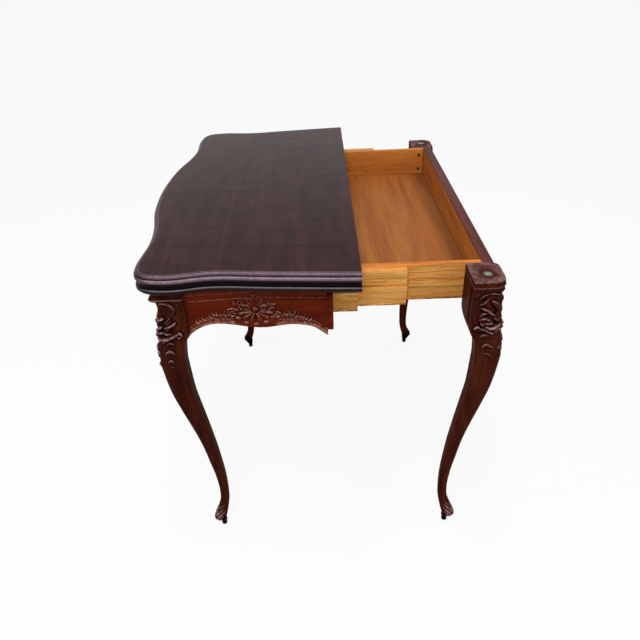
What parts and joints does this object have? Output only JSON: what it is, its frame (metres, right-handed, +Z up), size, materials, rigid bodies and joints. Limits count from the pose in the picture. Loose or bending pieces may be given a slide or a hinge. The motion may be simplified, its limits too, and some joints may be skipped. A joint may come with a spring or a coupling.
{
  "type": "games table",
  "caption": "Fold-over games table with a serpentine top, carved cabriole legs and a pull-out frame with a storage box.",
  "frame": {"origin": "on the floor under the middle of the table as it stands with its frame partly pulled out", "axes": "+X along the hinge line of the top, -Y towards the bowed front, +Y towards the pull-out legs, +Z up"},
  "size_m": [0.92, 0.725, 0.76],
  "materials": {
    "polished_mahogany": "dark red-brown French polish, semi-gloss",
    "carved_mahogany": "stained and waxed mahogany, semi-gloss",
    "oak": "sawn golden oak, unvarnished",
    "oak_box": "varnished oak of the box",
    "baize": "green wool baize",
    "brass": "dull brass",
    "steel": "worn steel",
    "dark_peg": "ebonised turned wood"
  },
  "bodies": {
    "carcase": {"fixed_leaf": "polished_mahogany", "fixed_baize": "baize", "front_apron": "carved_mahogany", "left_apron": "carved_mahogany", "right_apron": "carved_mahogany", "front_left_leg": "carved_mahogany", "front_right_leg": "carved_mahogany", "front_feet": "dark_peg", "cross_rail": "oak", "left_fixed_rail": "oak", "right_fixed_rail": "oak", "glue_blocks": "oak", "leaf_screws": "steel", "rail_screws": "steel", "fixed_hinge_plates": "brass", "hinge_pins": "steel", "fixed_hinge_screws": "brass"},
    "top_leaf": {"folding_leaf": "polished_mahogany", "folding_baize": "baize", "folding_hinge_plates": "brass", "folding_hinge_screws": "brass"},
    "left_first_slide": {"left_slide_1": "oak"},
    "right_first_slide": {"right_slide_1": "oak"},
    "left_second_slide": {"left_slide_2": "oak"},
    "right_second_slide": {"right_slide_2": "oak"},
    "pull_out_frame": {"back_left_leg": "carved_mahogany", "back_right_leg": "carved_mahogany", "back_feet": "dark_peg", "back_rail": "carved_mahogany", "rail_lining": "oak_box", "left_box_side": "oak_box", "right_box_side": "oak_box", "box_front": "oak_box", "box_floor": "oak_box", "box_screws": "steel", "rest_studs": "steel", "stud_cups": "brass"}
  },
  "joints": [
    {"name": "frame_pull", "type": "slide", "parent": "carcase", "child": "pull_out_frame", "axis": [0, 1, 0], "range_m": [-0.266, 0.124]},
    {"name": "leaf_fold", "type": "hinge", "parent": "carcase", "child": "top_leaf", "pos_m": [0, 0.0875, 0.739], "axis": [-1, 0, 0], "range_deg": [0, 180]},
    {"name": "left_first_pull", "type": "slide", "parent": "carcase", "child": "left_first_slide", "axis": [0, 1, 0], "range_m": [-0.0586, 0.0274]},
    {"name": "left_second_pull", "type": "slide", "parent": "carcase", "child": "left_second_slide", "axis": [0, 1, 0], "range_m": [-0.1544, 0.072]},
    {"name": "right_first_pull", "type": "slide", "parent": "carcase", "child": "right_first_slide", "axis": [0, 1, 0], "range_m": [-0.0586, 0.0274]},
    {"name": "right_second_pull", "type": "slide", "parent": "carcase", "child": "right_second_slide", "axis": [0, 1, 0], "range_m": [-0.1544, 0.072]}
  ],
  "couplings": [
    {"joint": "left_first_pull", "follows": "frame_pull", "ratio": 0.22},
    {"joint": "left_second_pull", "follows": "frame_pull", "ratio": 0.58},
    {"joint": "right_first_pull", "follows": "frame_pull", "ratio": 0.22},
    {"joint": "right_second_pull", "follows": "frame_pull", "ratio": 0.58}
  ]
}
